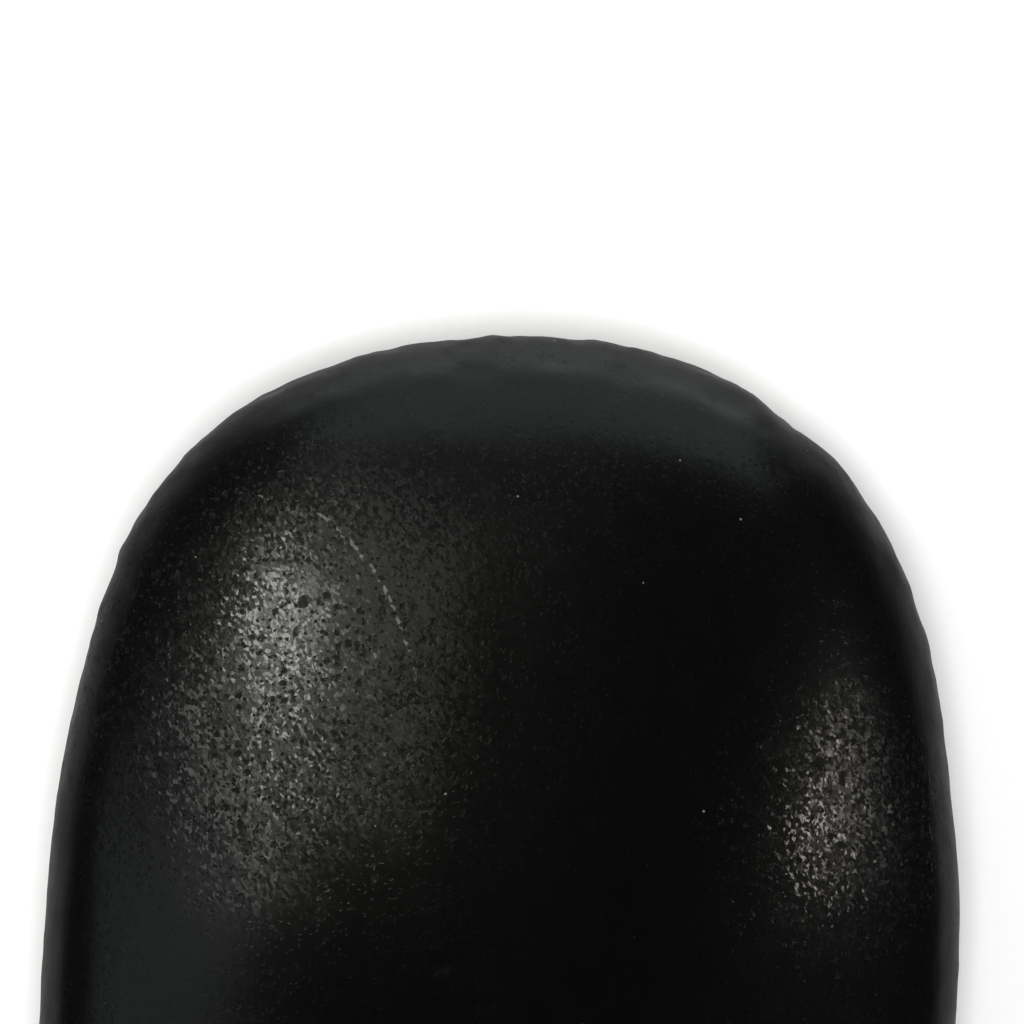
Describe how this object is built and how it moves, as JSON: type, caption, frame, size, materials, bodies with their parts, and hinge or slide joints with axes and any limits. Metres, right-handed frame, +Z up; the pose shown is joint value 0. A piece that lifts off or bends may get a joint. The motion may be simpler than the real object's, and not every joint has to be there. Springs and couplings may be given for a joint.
{
  "type": "massage stone",
  "caption": "Hand-sized oval stone of honed black basalt, domed above and below, with a rounded rim and a belly ground flat to lie still.",
  "frame": {"origin": "on the flat resting face, below the middle of the stone's box", "axes": "+Z up through the crown, +Y along the length towards the broad nose, +X across the width"},
  "size_m": [0.07, 0.107, 0.03],
  "materials": {
    "basalt": "honed, near black, with fine open pits"
  },
  "bodies": {
    "root": {"stone": "basalt"}
  },
  "joints": []
}
